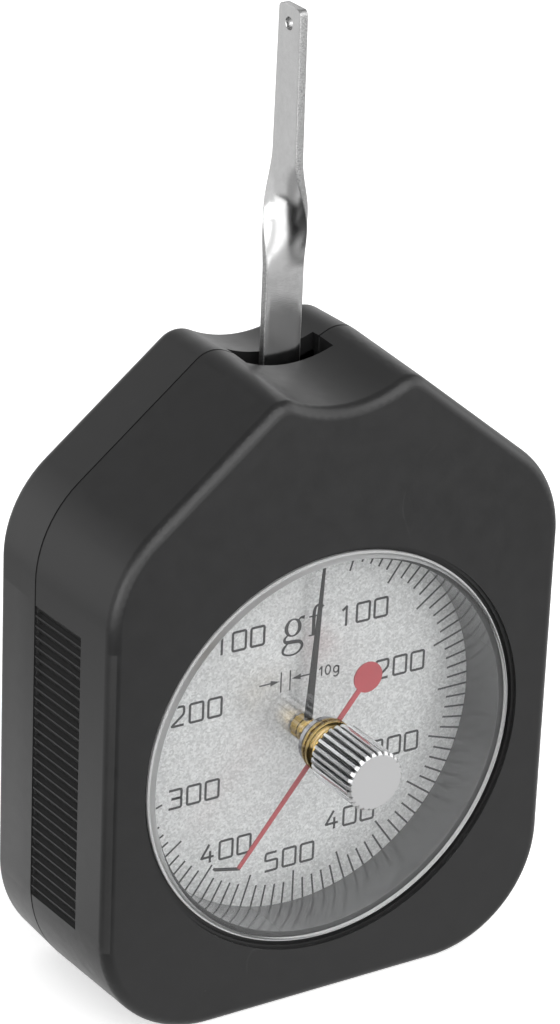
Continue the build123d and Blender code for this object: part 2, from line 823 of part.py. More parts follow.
def lever_blade():
    """The feeler: a flat strip with a quarter turn in it, so that its flat faces sideways at the tip."""
    twist_top = twist_bottom + twist_length
    lower = Pos(0, y_blade, (blade_foot + twist_bottom) / 2) * Box(
        blade_width, blade_thickness, twist_bottom - blade_foot
    )
    steps = 9
    sections = []
    for i in range(steps):
        t = i / (steps - 1)
        turn = -90 * t * t * (3 - 2 * t)
        place = Pos(0, y_blade, twist_bottom + twist_length * t) * Rot(0, 0, turn)
        sections.append(place * Rectangle(blade_width, blade_thickness))
    twist = loft(sections)
    top = polygon(
        (-blade_width / 2, twist_top),
        (blade_width / 2, twist_top),
        (blade_tip_width / 2, blade_tip),
        (-blade_tip_width / 2, blade_tip),
    )
    top = fillet(top.vertices().sort_by(Axis.Y)[-2:], blade_corner_radius)
    top -= Pos(0, blade_tip - eye_drop) * Circle(eye_radius)
    upper = Pos(0, y_blade, 0) * extrude(Plane.YZ.offset(-blade_thickness / 2) * top, blade_thickness)
    blade = lower + twist + upper
    for z in blade_rivet_heights:
        blade -= rod(rivet_radius, y_blade - 1, y_blade + 1, 0, z)
    return blade


def measuring_spring():
    """A flat leaf, clamped at its foot, whose top stands in the carrier's notch."""
    height = spring_top - spring_foot
    return Pos(spring_x, y_blade - 0.5, spring_foot + height / 2) * Box(spring_thickness, spring_width, height)


def spring_block():
    """The clamp block that holds the leaf's foot against the rear plate."""
    front = y_blade - 0.5 - spring_width / 2 - 0.6
    block = slab(
        Pos(spring_x, spring_foot + block_height / 2) * Rectangle(block_width, block_height), front, y_rear_plate
    )
    block -= measuring_spring()
    for x, z in block_screw_places():
        tapped = y_movement_back - block_screw_length - screw_end_gap
        block -= rod(block_screw_radius, tapped, y_rear_plate + 1, x, z)
    return block


def spring_block_screws():
    return Compound([
        screw(x, z, block_screw_head_radius, block_screw_head_height, block_screw_radius,
              y_movement_back, y_movement_back - block_screw_length, block_screw_slot)
        for x, z in block_screw_places()
    ])


for make in (
    front_case, rear_cover, case_screws, window_lens, lens_bush, knob, knob_spindle, friction_washer,
    drag_pointer, drag_hub, dial_plate, main_pointer, pointer_collet, centre_arbor, pinion,
    hairspring, hairspring_collet, hairspring_stud, front_plate, rear_plate, plate_pillars,
    pillar_screws, movement_screws, arbor_bushes, lever_blade, lever_carrier, blade_rivets,
    lever_hub, hub_rivets, lever_arbor, sector_gear, measuring_spring, spring_block,
    spring_block_screws, stop_pins,
):
    save(make(), make.__name__)
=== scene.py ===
# %% [markdown]
# # A dial force gauge
#
# A hand-held gauge: a gabled black plastic case, a round window over a silver dial,
# a fluted knob in the middle of the window and a twisted steel feeler out of the top.
# The solid model gives every piece its size and place. This lesson dresses it:
# finishes made of shader nodes, and finer surfaces worked out with numpy.

# %% Load the solid model
import json
import math

import bmesh
import bpy
import numpy as np
from mathutils import Matrix, Vector

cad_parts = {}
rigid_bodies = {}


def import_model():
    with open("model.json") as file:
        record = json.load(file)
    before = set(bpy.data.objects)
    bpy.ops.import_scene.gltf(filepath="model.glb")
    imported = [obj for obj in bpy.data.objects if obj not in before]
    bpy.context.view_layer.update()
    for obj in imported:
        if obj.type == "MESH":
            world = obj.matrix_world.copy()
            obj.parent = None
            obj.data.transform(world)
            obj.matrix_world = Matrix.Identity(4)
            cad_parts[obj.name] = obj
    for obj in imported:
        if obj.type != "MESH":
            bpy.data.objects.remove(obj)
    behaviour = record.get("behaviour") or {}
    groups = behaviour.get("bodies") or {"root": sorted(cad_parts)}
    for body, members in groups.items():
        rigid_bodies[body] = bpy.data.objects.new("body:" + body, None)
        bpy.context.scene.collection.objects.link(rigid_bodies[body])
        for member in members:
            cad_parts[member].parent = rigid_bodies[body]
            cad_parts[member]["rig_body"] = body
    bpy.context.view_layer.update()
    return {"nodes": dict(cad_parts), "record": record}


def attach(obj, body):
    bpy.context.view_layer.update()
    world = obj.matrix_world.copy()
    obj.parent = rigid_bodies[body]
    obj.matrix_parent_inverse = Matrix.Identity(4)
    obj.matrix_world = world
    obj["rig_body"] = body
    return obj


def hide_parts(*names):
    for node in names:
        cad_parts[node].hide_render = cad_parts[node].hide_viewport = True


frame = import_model()
nodes = frame["nodes"]
mm = 0.001
axis_height = 30.9  # mm from the base to the axis that dial, window and knob share

# %% [markdown]
# ## The camera
#
# A camera is a place, three axes and a lens. Writing the three axes as the columns of a
# matrix keeps a small roll that Blender's tracking helpers would lose. The long lens
# stands well back, so that the case keeps its straight lines.

# %% Camera
azimuth, elevation, roll = math.radians(-33.058), math.radians(24.199), math.radians(2.387)
camera_place = Vector((-228.77, -350.30, 243.17)) * mm
back = Vector((
    math.sin(azimuth) * math.cos(elevation),
    -math.cos(azimuth) * math.cos(elevation),
    math.sin(elevation),
))
level = Vector((0, 0, 1)).cross(back).normalized()
upright = back.cross(level)
right = level * math.cos(roll) + upright * math.sin(roll)
up = upright * math.cos(roll) - level * math.sin(roll)

camera_data = bpy.data.cameras.new("camera")
camera_data.lens = 145.55
camera_data.sensor_width = 36
camera_data.clip_start, camera_data.clip_end = 0.01, 20
camera = bpy.data.objects.new("camera", camera_data)
columns = ((*right, 0), (*up, 0), (*back, 0), (*camera_place, 1))
camera.matrix_world = Matrix(columns).transposed()
bpy.context.scene.collection.objects.link(camera)
bpy.context.scene.camera = camera
print("camera stands", round(camera_place.length * 1000), "mm from the base")

# %% [markdown]
# ## Helpers for shader nodes
#
# A material is a small graph of nodes, which takes many lines of code. A few short
# functions keep the rest readable: one adds a node and feeds its inputs, and four do
# sums. The one node that takes a whole formula, Script, works in Cycles alone.

# %% Node helpers
def feed(tree, socket, value):
    """Gives an input a plain value, or links it to another node's output."""
    if isinstance(value, bpy.types.NodeSocket):
        tree.links.new(value, socket)
    else:
        socket.default_value = value


def put(tree, kind, settings=None, feeds=(), **inputs):
    """Adds a shader node. Inputs are fed by name, or in order from feeds, where None skips one."""
    node = tree.nodes.new("ShaderNode" + kind)
    for key, value in (settings or {}).items():
        setattr(node, key, value)
    for key, value in inputs.items():
        feed(tree, node.inputs[key.replace("_", " ")], value)
    for place, value in enumerate(feeds):
        if value is not None:
            feed(tree, node.inputs[place], value)
    return node


def maths(tree, operation, *feeds):
    """One Math node's result."""
    return put(tree, "Math", {"operation": operation}, feeds).outputs[0]


def plus(tree, *feeds):
    """The sum of two numbers."""
    return maths(tree, "ADD", *feeds)


def minus(tree, *feeds):
    """The first number less the second."""
    return maths(tree, "SUBTRACT", *feeds)


def times(tree, *feeds):
    """The product of two numbers."""
    return maths(tree, "MULTIPLY", *feeds)


print("node helpers: feed, put, maths, plus, minus, times")

# %% [markdown]
# ## Blends, spans and places
#
# Most finishes go softly from one look to another: over a mask, over a span of heights,
# or with the distance from an axis. These helpers say that in one call each. A colour
# ramp could do it too, but its stops are harder to read than a low and a high.

# %% Blend helpers
def blend_colours(tree, share, first, second):
    """A colour that goes from the first to the second as the share goes from 0 to 1."""
    node = put(tree, "Mix", {"data_type": "RGBA"})
    for place, value in ((0, share), (6, first), (7, second)):
        feed(tree, node.inputs[place], value)
    return node.outputs[2]


def blend_values(tree, share, first, second):
    """A number that goes from the first to the second as the share goes from 0 to 1."""
    return put(tree, "Mix", {}, (share, None, first, second)).outputs[0]


def fit_range(tree, value, low, high, out_low=0.0, out_high=1.0):
    """A value's span from low to high, stretched to out_low to out_high and clamped there."""
    return put(tree, "MapRange", {}, (value, low, high, out_low, out_high)).outputs[0]


def reach_from_axis(tree, height=axis_height * mm):
    """Distance from the dial's axis, sqrt(x*x + (z - height)^2), and the place (x, y, z) itself."""
    place = put(tree, "SeparateXYZ", {}, (put(tree, "TexCoord").outputs["Object"],)).outputs
    rise = minus(tree, place[2], height)
    square = plus(tree, maths(tree, "POWER", place[0], 2.0), maths(tree, "POWER", rise, 2.0))
    return maths(tree, "SQRT", square), place


def rgb(red, green, blue):
    """An opaque colour."""
    return (red, green, blue, 1.0)


def grey(level):
    """An opaque grey."""
    return rgb(level, level, level)


print("black and white:", grey(0), grey(1))

# %% [markdown]
# ## Starting a finish
#
# Every finish here is one Principled shader. What is the same all over the surface is
# set on its sockets, and only what varies is wired in. The finishes are kept by name,
# so that several pieces can share one.

# %% Finish helpers
finishes = {}


def start_material(name, **principled):
    """Begins a finish: a material whose Principled shader has these plain values."""
    finishes[name] = bpy.data.materials.new(name)
    finishes[name].use_nodes = True
    tree = finishes[name].node_tree
    shader = tree.nodes["Principled BSDF"]
    for key, value in principled.items():
        shader.inputs[key.replace("_", " ")].default_value = value
    print("finish:", name)
    return tree, shader


def wire(tree, shader, **outputs):
    """Links outputs to the shader's inputs of those names."""
    for key, value in outputs.items():
        tree.links.new(value, shader.inputs[key.replace("_", " ")])


def bump(tree, shader, height, distance, strength=1.0):
    """Feeds a height through a Bump node to the shader's normal."""
    node = put(tree, "Bump", Height=height, Distance=distance, Strength=strength)
    wire(tree, shader, Normal=node.outputs[0])


print("finishes so far:", len(finishes))

# %% [markdown]
# ## Effects that several finishes share
#
# Real surfaces are never even. Three effects turn up on many pieces here, so each is
# built once as a node group: a fine grain, fine scratches with a few specks, and the
# rings that a lathe tool leaves round an axis. A group gives a plain number, and each
# material chooses what that number does.

# %% Groups: grain, scuffs and turning rings
def start_group(name, inputs, outputs):
    """An empty node group with float inputs (name: default) and float outputs."""
    group = bpy.data.node_groups.new(name, "ShaderNodeTree")
    for key, value in inputs.items():
        socket = group.interface.new_socket(key, in_out="INPUT", socket_type="NodeSocketFloat")
        socket.default_value = value
    for key in outputs:
        group.interface.new_socket(key, in_out="OUTPUT", socket_type="NodeSocketFloat")
    given, result = group.nodes.new("NodeGroupInput"), group.nodes.new("NodeGroupOutput")
    return group, given.outputs, result.inputs


def make_grain():
    """A fine noise for height, and one about seventeen times coarser for slow unevenness."""
    tree, given, result = start_group("fine_grain", {"Scale": 4000.0}, ("Height", "Patches"))
    place = put(tree, "TexCoord").outputs["Object"]
    coarse = times(tree, given["Scale"], 0.06)
    for key, scale, detail in (("Height", given["Scale"], 3.0), ("Patches", coarse, 4.0)):
        noise = put(tree, "TexNoise", Vector=place, Scale=scale, Detail=detail, Roughness=0.6)
        tree.links.new(noise.outputs[0], result[key])
    return tree


def make_scuffs():
    """Scratches and specks, each 0 to 1.

    A scratch is where a smooth noise crosses its middle value, kept where a second noise is
    high. A speck is the centre of a cell whose random value is among the highest.
    """
    tree, given, result = start_group(
        "scuffs", {"Scale": 60.0, "Specks": 0.5}, ("Scratches", "Specks"))
    place, scale = put(tree, "TexCoord").outputs["Object"], given["Scale"]
    bends = put(tree, "TexNoise", Vector=place, Scale=scale, Detail=1.0).outputs[0]
    line = maths(tree, "ABSOLUTE", minus(tree, bends, 0.5))
    thin = fit_range(tree, line, 0.0, 0.0022, 1.0, 0.0)
    where = put(tree, "TexNoise", Vector=place, Scale=times(tree, scale, 2.7), Detail=2.0)
    kept = fit_range(tree, where.outputs[0], 0.60, 0.68)
    tree.links.new(times(tree, thin, kept), result["Scratches"])

    cells = put(tree, "TexVoronoi", Vector=place, Scale=times(tree, scale, 7.0)).outputs
    dot = fit_range(tree, cells["Distance"], 0.03, 0.055, 1.0, 0.0)
    chosen = put(tree, "SeparateColor", {}, (cells["Color"],)).outputs[0]
    highest = minus(tree, 1.0, times(tree, given["Specks"], 0.1))
    rare = maths(tree, "GREATER_THAN", chosen, highest)
    tree.links.new(times(tree, dot, rare), result["Specks"])
    return tree


def make_rings():
    """Height of fine rings: a sine of (distance from the axis + place along it), and noise."""
    tree, given, result = start_group(
        "turning_rings", {"Pitch": 0.12 * mm, "Axis Height": axis_height * mm}, ("Rings",))
    reach, place = reach_from_axis(tree, given["Axis Height"])
    both = plus(tree, reach, place[1])
    turns = times(tree, maths(tree, "DIVIDE", both, given["Pitch"]), 2 * math.pi)
    jitter = put(
        tree, "TexNoise", {"noise_dimensions": "1D"}, W=times(tree, both, 9000.0), Detail=2.0)
    height = plus(tree, times(tree, maths(tree, "SINE", turns), 0.5), jitter.outputs[0])
    tree.links.new(height, result["Rings"])
    return tree


def use_group(tree, group, **inputs):
    """Places a group in a material with its own values and gives its outputs."""
    node = put(tree, "Group", {"node_tree": group})
    for key, value in inputs.items():
        node.inputs[key.replace("_", " ")].default_value = value
    return node.outputs


grain, scuffs, rings = make_grain(), make_scuffs(), make_rings()
print("groups:", grain.name, scuffs.name, rings.name)

# %% [markdown]
# ## The case's black plastic
#
# The case is moulded in a black, faintly textured plastic. Most of what one sees is
# gloss, so the colour stays very dark and the roughness does the work: a fine bump for
# the mould's grain, patches where hands have polished it, hair-thin scratches and a
# few pale specks of dust. The hollows of the grip are painted paler, a painted sheen,
# the groove at the joint of the shells is dull, and inside the window's well the
# plastic is smoother. One material holds all of it, with masks worked out from the
# place on the case.

# %% Case plastic
joint_place = 3.3 * mm  # where the two shells meet, along Y
side_reach, side_slope = 29.75 * mm, 0.0437  # half the case's width there, and its draft
grip_half = 18.2 * mm  # half the grip's height


def grip_hollows(tree, place):
    """1 in the hollows of the grip and 0 elsewhere.

    The side stands at |x| = side_reach - side_slope * (joint_place - y). The mask rises from
    0.04 to 0.3 mm inside it, ends at 0.8 mm, and keeps to the grip's height.
    """
    lean = times(tree, minus(tree, joint_place, place[1]), side_slope)
    side = minus(tree, side_reach, lean)
    sunk = minus(tree, side, maths(tree, "ABSOLUTE", place[0]))
    from_middle = maths(tree, "ABSOLUTE", minus(tree, place[2], axis_height * mm))
    within = maths(tree, "LESS_THAN", from_middle, grip_half)
    hollow = times(tree, fit_range(tree, sunk, 0.04 * mm, 0.30 * mm), within)
    return times(tree, hollow, maths(tree, "LESS_THAN", sunk, 0.8 * mm))


def make_case_plastic():
    """Near black; each mask blends its own colour over what is there already."""
    tree, shader = start_material(
        "case_plastic", Base_Color=rgb(0.008, 0.008, 0.0085), Roughness=0.34)
    texture = use_group(tree, grain, Scale=9000.0)
    marks = use_group(tree, scuffs, Scale=45.0, Specks=0.35)
    reach, place = reach_from_axis(tree)
    inside = maths(tree, "LESS_THAN", reach, 22.75 * mm)
    well = times(tree, inside, maths(tree, "LESS_THAN", place[1], -3.5 * mm))
    from_joint = maths(tree, "ABSOLUTE", minus(tree, place[1], joint_place))
    joint = fit_range(tree, from_joint, 0.10 * mm, 0.13 * mm, 1.0, 0.0)

    base = blend_colours(
        tree, texture["Patches"], rgb(0.009, 0.009, 0.0092), rgb(0.014, 0.014, 0.0142))
    for mask, colour in (
        (times(tree, marks["Scratches"], 0.03), grey(0.30)),
        (times(tree, marks["Specks"], 0.5), grey(0.5)),
        # painted light: the grip's hollows are painted paler grey, a painted sheen
        (grip_hollows(tree, place), grey(0.026)),
        (well, rgb(0.060, 0.060, 0.062)),
    ):
        base = blend_colours(tree, mask, base, colour)
    rough = fit_range(tree, texture["Patches"], 0.3, 0.7, 0.31, 0.37)
    rough = plus(tree, rough, times(tree, well, -0.20))
    rough = plus(tree, rough, times(tree, joint, 0.6))
    wire(tree, shader, Base_Color=base, Roughness=rough)
    height = times(tree, texture["Height"], minus(tree, 1.0, well))
    bump(tree, shader, height, 0.03 * mm, 0.25)


make_case_plastic()

# %% [markdown]
# ## Metals
#
# Brass and steel differ in colour and in how they were worked. Turned parts get rings
# about their axis and the others an even grain, all with faint patches of handling. One
# function with a few numbers makes them all.

# %% Metals
def make_metal(name, colour, rough_low, rough_high, ring_pitch=0.0, grain_scale=5000.0):
    """A metal whose roughness drifts between two values, with lathe rings or an even grain."""
    tree, shader = start_material(name, Metallic=1.0, Roughness=rough_low)
    texture = use_group(tree, grain, Scale=grain_scale)
    tarnish = fit_range(tree, texture["Patches"], 0.35, 0.75)
    darker = rgb(*[channel * 0.72 for channel in colour])
    wire(
        tree, shader, Base_Color=blend_colours(tree, tarnish, rgb(*colour), darker),
        Roughness=fit_range(tree, texture["Patches"], 0.3, 0.7, rough_low, rough_high))
    height = texture["Height"]
    if ring_pitch:
        height = use_group(tree, rings, Pitch=ring_pitch)["Rings"]
    bump(tree, shader, height, 0.004 * mm)


make_metal("turned_brass", (0.46, 0.33, 0.13), 0.16, 0.30, ring_pitch=0.22 * mm)
make_metal("plate_brass", (0.62, 0.47, 0.22), 0.28, 0.42)
make_metal("screw_steel", (0.50, 0.50, 0.51), 0.22, 0.34, grain_scale=7000.0)
make_metal("spring_steel", (0.42, 0.42, 0.44), 0.20, 0.32)

# %% [markdown]
# ## The knob's chrome
#
# Plating is dull down in the knob's flutes and bright on the lands between them, and the
# flat end is satin. The flutes are also painted darker, as painted shade, and the side is
# painted darker than the end, a painted shade and reflection of the dark things round it.
# A mask from the distance to the axis tells the flutes from the lands, and one from the
# place along the axis tells the end from the side.

# %% Knob chrome
def make_knob_chrome():
    """The flute mask falls from 1 at 3.28 mm from the axis to 0 at 3.46 mm, on the side only."""
    tree, shader = start_material("knob_chrome", Metallic=1.0, Roughness=0.12)
    texture = use_group(tree, grain, Scale=2500.0)
    reach, place = reach_from_axis(tree)
    flute = fit_range(tree, reach, 3.28 * mm, 3.46 * mm, 1.0, 0.0)
    side = fit_range(tree, place[1], -20.00 * mm, -19.85 * mm)
    deep = times(tree, flute, side)
    # painted shade: the side's colour is darker than the end's, for the dark things it mirrors
    plate_with_side_shade = blend_colours(tree, side, rgb(0.80, 0.80, 0.805), rgb(0.54, 0.54, 0.545))
    shine = blend_colours(tree, 0.15, plate_with_side_shade, grey(1))
    bright = blend_colours(tree, texture["Patches"], plate_with_side_shade, shine)
    rough = fit_range(tree, side, 0.0, 1.0, 0.34, 0.14)
    # painted shade: the flutes are painted dark grey; their added roughness is real dullness
    wire(
        tree, shader, Base_Color=blend_colours(tree, deep, bright, rgb(0.24, 0.24, 0.243)),
        Roughness=plus(tree, rough, times(tree, deep, 0.2)))
    bump(tree, shader, texture["Height"], 0.002 * mm)


make_knob_chrome()

# %% [markdown]
# ## The feeler's steel
#
# The flats of the feeler are satin with fine cross lines, from a noise squeezed along
# the strip. Its narrow sides are sheared: rough, pitted metal that sparkles. An
# attribute on the mesh says which points are on those sides.

# %% Feeler steel
def make_blade_steel():
    """Satin on the flats, pitted on the edges; the height is 0.1 * lines + 1.1 * pits * edge."""
    tree, shader = start_material("blade_steel", Metallic=1.0, Roughness=0.25)
    texture = use_group(tree, grain, Scale=16000.0)
    edge = put(tree, "Attribute", {"attribute_name": "sheared"}).outputs["Fac"]
    place = put(tree, "TexCoord").outputs["Object"]
    stretched = put(tree, "Mapping", Vector=place, Scale=(0.15, 0.15, 1.0)).outputs[0]
    lines = put(tree, "TexNoise", Vector=stretched, Scale=9000.0, Detail=2.0).outputs[0]
    pits = put(tree, "TexNoise", Vector=place, Scale=8200.0, Detail=3.0, Roughness=0.7).outputs[0]
    dull = fit_range(tree, texture["Patches"], 0.35, 0.7, 0.0, 0.25)
    flat = blend_colours(tree, dull, grey(0.60), grey(0.45))
    pitted = blend_colours(
        tree, fit_range(tree, pits, 0.38, 0.60), grey(0.26), grey(0.54))
    rough = fit_range(tree, texture["Patches"], 0.3, 0.7, 0.15, 0.22)
    wire(
        tree, shader, Base_Color=blend_colours(tree, edge, flat, pitted),
        Roughness=plus(tree, rough, times(tree, edge, 0.18)))
    height = plus(tree, times(tree, lines, 0.10), times(tree, pits, times(tree, edge, 1.1)))
    bump(tree, shader, height, 0.03 * mm)


make_blade_steel()

# %% [markdown]
# ## The dial's silver
#
# The dial is sprayed with a silver paint full of tiny flakes. Each cell of a Voronoi
# texture is a flake with its own brightness and gloss, and a fine noise mottles them, so
# that the dial glitters softly.

# %% Dial silver
def make_dial_silver():
    """The tone is 0.4 of the cell's random value and 0.6 of the noise."""
    tree, shader = start_material("dial_silver", Metallic=0.6, Roughness=0.34)
    place = put(tree, "TexCoord").outputs["Object"]
    flakes = put(tree, "TexVoronoi", Vector=place, Scale=4600.0)
    flake = put(tree, "SeparateColor", {}, (flakes.outputs["Color"],)).outputs[0]
    mottle = put(tree, "TexNoise", Vector=place, Scale=2600.0, Detail=2.0, Roughness=0.55)
    clouds = mottle.outputs[0]
    tone = plus(tree, times(tree, flake, 0.4), times(tree, clouds, 0.6))
    wire(
        tree, shader,
        Base_Color=blend_colours(
            tree, fit_range(tree, tone, 0.30, 0.80), grey(0.62), grey(0.95)),
        Roughness=fit_range(tree, flake, 0.0, 1.0, 0.32, 0.37))
    bump(tree, shader, clouds, 0.01 * mm, 0.5)


make_dial_silver()

# %% [markdown]
# ## Enamels, ink and sealant
#
# The pointers are enamelled, the print is dark grey ink and the window is set in a grey
# sealant. All are one colour with a little orange peel and slow changes of gloss. The
# red pointer's red gives way to near black past 17 mm from the axis, on its bent foot.

# %% Enamels
def make_enamel(name, colour, rough):
    """A sprayed enamel: the colour, up to a quarter paler in patches."""
    tree, shader = start_material(name, Base_Color=rgb(*colour), Roughness=rough)
    texture = use_group(tree, grain, Scale=6000.0)
    paler = rgb(*[min(1.0, channel * 1.25 + 0.004) for channel in colour])
    wire(
        tree, shader, Base_Color=blend_colours(tree, texture["Patches"], rgb(*colour), paler),
        Roughness=fit_range(tree, texture["Patches"], 0.3, 0.7, rough, rough + 0.1))
    bump(tree, shader, texture["Height"], 0.006 * mm)


def make_drag_enamel():
    """Red, then black from 16.8 to 17.1 mm from the axis outwards."""
    tree, shader = start_material(
        "red_pointer", Base_Color=rgb(0.38, 0.08, 0.095), Roughness=0.38)
    texture = use_group(tree, grain, Scale=6000.0)
    red = blend_colours(
        tree, texture["Patches"], rgb(0.36, 0.052, 0.062), rgb(0.44, 0.072, 0.084))
    foot = fit_range(tree, reach_from_axis(tree)[0], 16.8 * mm, 17.1 * mm)
    wire(tree, shader, Base_Color=blend_colours(tree, foot, red, rgb(0.03, 0.03, 0.032)))
    bump(tree, shader, texture["Height"], 0.006 * mm)


make_enamel("dial_ink", (0.032, 0.032, 0.034), 0.6)
make_enamel("black_pointer", (0.022, 0.022, 0.023), 0.42)
make_enamel("window_seal", (0.52, 0.52, 0.52), 0.45)
make_drag_enamel()

# %% [markdown]
# ## The window's acrylic
#
# The window is clear acrylic, polished but for its bevel, which the cutter left matt.
# Cycles' glass shuts out the light of lamps, so a Light Path node lets shadow rays
# straight through, which is what a thin clear window does in a real room.

# %% Acrylic
def make_acrylic():
    """Roughness is 0.42 past 23.1 mm from the axis and in front of y = -11.3 mm, else 0."""
    tree, shader = start_material(
        "lens_plastic", Base_Color=rgb(0.96, 0.97, 0.97), Roughness=0.0, IOR=1.49,
        Transmission_Weight=1.0)
    reach, place = reach_from_axis(tree)
    outer = maths(tree, "GREATER_THAN", reach, 23.10 * mm)
    front = maths(tree, "LESS_THAN", place[1], -11.3 * mm)
    wire(tree, shader, Roughness=times(tree, times(tree, outer, front), 0.42))
    shadow = put(tree, "LightPath").outputs["Is Shadow Ray"]
    clear = put(tree, "BsdfTransparent").outputs[0]
    mix = put(tree, "MixShader", {}, (shadow, shader.outputs[0], clear))
    tree.links.new(mix.outputs[0], tree.nodes["Material Output"].inputs["Surface"])


make_acrylic()

# %% [markdown]
# ## Dressing the solid model
#
# Every node of the solid model names a slot, and the slot names a finish. Each mesh is
# cleared of its old materials first, so that it has just one.

# %% Every node gets its finish
for part in frame["record"]["subparts"]:
    slots = nodes[part["node"]].data.materials
    slots.clear()
    slots.append(finishes[part["material_slot"]])

# %% [markdown]
# ## Surfaces from arrays
#
# Each new piece is a grid of points that numpy works out at once. Rows follow one
# parameter and columns the other; the helper joins neighbours into four-sided faces,
# closes the grid where it should meet itself, and caps its ends. That keeps a shape
# exact and easy to change.

# %% Grid to mesh
def finish_mesh(mesh, sharp):
    """Turns the faces outwards and shades them smooth, but for edges sharper than an angle."""
    work = bmesh.new()
    work.from_mesh(mesh)
    bmesh.ops.recalc_face_normals(work, faces=work.faces)
    work.to_mesh(mesh)
    work.free()
    mesh.polygons.foreach_set("use_smooth", np.ones(len(mesh.polygons), bool))
    mesh.set_sharp_from_angle(angle=math.radians(sharp))


def show(name, mesh, body, slot, finish=None):
    """Links a mesh as a piece on a body, in its slot's finish unless another one is named."""
    piece = bpy.data.objects.new(name, mesh)
    bpy.context.scene.collection.objects.link(piece)
    mesh.materials.clear()
    mesh.materials.append(finishes[finish or slot])
    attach(piece, body)
    print(f"{name}: {len(mesh.polygons)} faces")
    return piece


def surface(name, points, body, slot, finish=None, close_rows=False, sharp=30.0):
    """A piece from points[row, column, xyz] in millimetres. Columns always close on themselves.

    Face (i, j) joins points (i, j), (i, j+1), (i+1, j+1) and (i+1, j). Rows close too where
    close_rows is set; otherwise the first and last row are capped by one flat face each.
    """
    rows, columns, _ = points.shape
    last = rows if close_rows else rows - 1
    i, j = np.meshgrid(np.arange(last), np.arange(columns), indexing="ij")
    next_i, next_j = (i + 1) % rows, (j + 1) % columns
    corners = ((i, j), (i, next_j), (next_i, next_j), (next_i, j))
    quads = np.stack([row * columns + column for row, column in corners], -1)
    faces = quads.reshape(-1, 4).tolist()
    if not close_rows:
        faces.append(list(range(columns))[::-1])
        faces.append([(rows - 1) * columns + k for k in range(columns)])
    mesh = bpy.data.meshes.new(name)
    mesh.from_pydata((points.reshape(-1, 3) * mm).tolist(), [], faces)
    finish_mesh(mesh, sharp)
    return show(name, mesh, body, slot, finish)


def around_axis(radius, along, angle):
    """Points at x = radius * sin(angle), y = along, z = axis height + radius * cos(angle)."""
    x, z = radius * np.sin(angle), axis_height + radius * np.cos(angle)
    return np.stack([x, np.broadcast_to(along, x.shape), z], -1)


def revolve(profile, segments):
    """Points of a turned shape: each (radius, y) of the profile is swept round the dial's axis."""
    profile = np.array(profile, float)
    angle = np.linspace(0, 2 * np.pi, segments, endpoint=False)
    return around_axis(profile[:, :1], profile[:, 1:], angle)


# %% [markdown]
# ## Smoothing the big shells
#
# The case's two shells have wide flats and rounded edges, and come from the solid model
# as loose triangles, whose plain smooth shading would bend the flats' shine. So a copy
# is merged at its shared corners and given its own normals: where a wide flat meets a
# fillet, the corner takes the flat's normal, and the fillet rolls into it.

# %% Normals at the corners
def flat_areas(work):
    """The area of each face's flat: neighbours within a third of a degree are one flat."""
    limit = math.cos(math.radians(0.33))
    area = [0.0] * len(work.faces)
    for seed in work.faces:
        if area[seed.index]:
            continue
        flat, waiting = {seed.index}, [seed]
        for face in waiting:
            for other in (other for edge in face.edges for other in edge.link_faces):
                taken = other.index in flat or area[other.index]
                if not taken and other.normal.dot(seed.normal) > limit:
                    flat.add(other.index)
                    waiting.append(other)
        total = sum(face.calc_area() for face in waiting)
        for face in waiting:
            area[face.index] = total + 1e-15
    return area


def corner_normals(work, sharp, wide):
    """One normal for every corner of every face.

    Of the faces round the corner within the sharp angle, the one on the widest flat gives its
    normal if that flat is wide enough; otherwise all of them do, weighted by their areas.
    """
    limit = math.cos(math.radians(sharp))
    area = flat_areas(work)
    normals = []
    for face in work.faces:
        for corner in face.loops:
            near = [other for other in corner.vert.link_faces
                    if other.normal.dot(face.normal) > limit] or [face]
            widest = max(near, key=lambda other: area[other.index])
            if area[widest.index] > wide:
                normals.append(widest.normal.copy())
            else:
                total = sum((other.normal * other.calc_area() for other in near), Vector())
                normals.append(total.normalized())
    return normals


print("loose triangles in the front half:", len(nodes["front_case"].data.polygons))

# %% [markdown]
# ## The shells in place
#
# The copy takes the place of the solid model's mesh. Nothing moves: only the way that
# light reads the surface changes.

# %% Smoothed shells
def smooth_copy(node, sharp=28.0, wide=30e-6):
    """A merged copy of a node in its place; sharp is in degrees, wide in square metres."""
    source = nodes[node]
    mesh = source.data.copy()
    work = bmesh.new()
    work.from_mesh(mesh)
    bmesh.ops.remove_doubles(work, verts=work.verts, dist=1e-7)
    work.faces.index_update()
    normals = corner_normals(work, sharp, wide)
    work.to_mesh(mesh)
    work.free()
    mesh.polygons.foreach_set("use_smooth", np.ones(len(mesh.polygons), bool))
    mesh.normals_split_custom_set(normals)
    subparts = frame["record"]["subparts"]
    slot = next(part["material_slot"] for part in subparts if part["node"] == node)
    piece = show(node + "_shell", mesh, source["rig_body"], slot)
    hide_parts(node)


for shell in ("front_case", "rear_cover"):
    smooth_copy(shell)

# %% [markdown]
# ## The feeler
#
# The feeler is a strip of spring steel with a quarter turn in it, blanked from sheet,
# so its narrow sides are rough and its flats are satin. It is a rounded oblong carried
# up a straight line and turned as it climbs. A curve with a tilt would do that too, but
# the array also says which points are sheared, and packs its rows where the strip turns.

# %% The feeler's points
strip_middle = 2.6  # mm, along Y


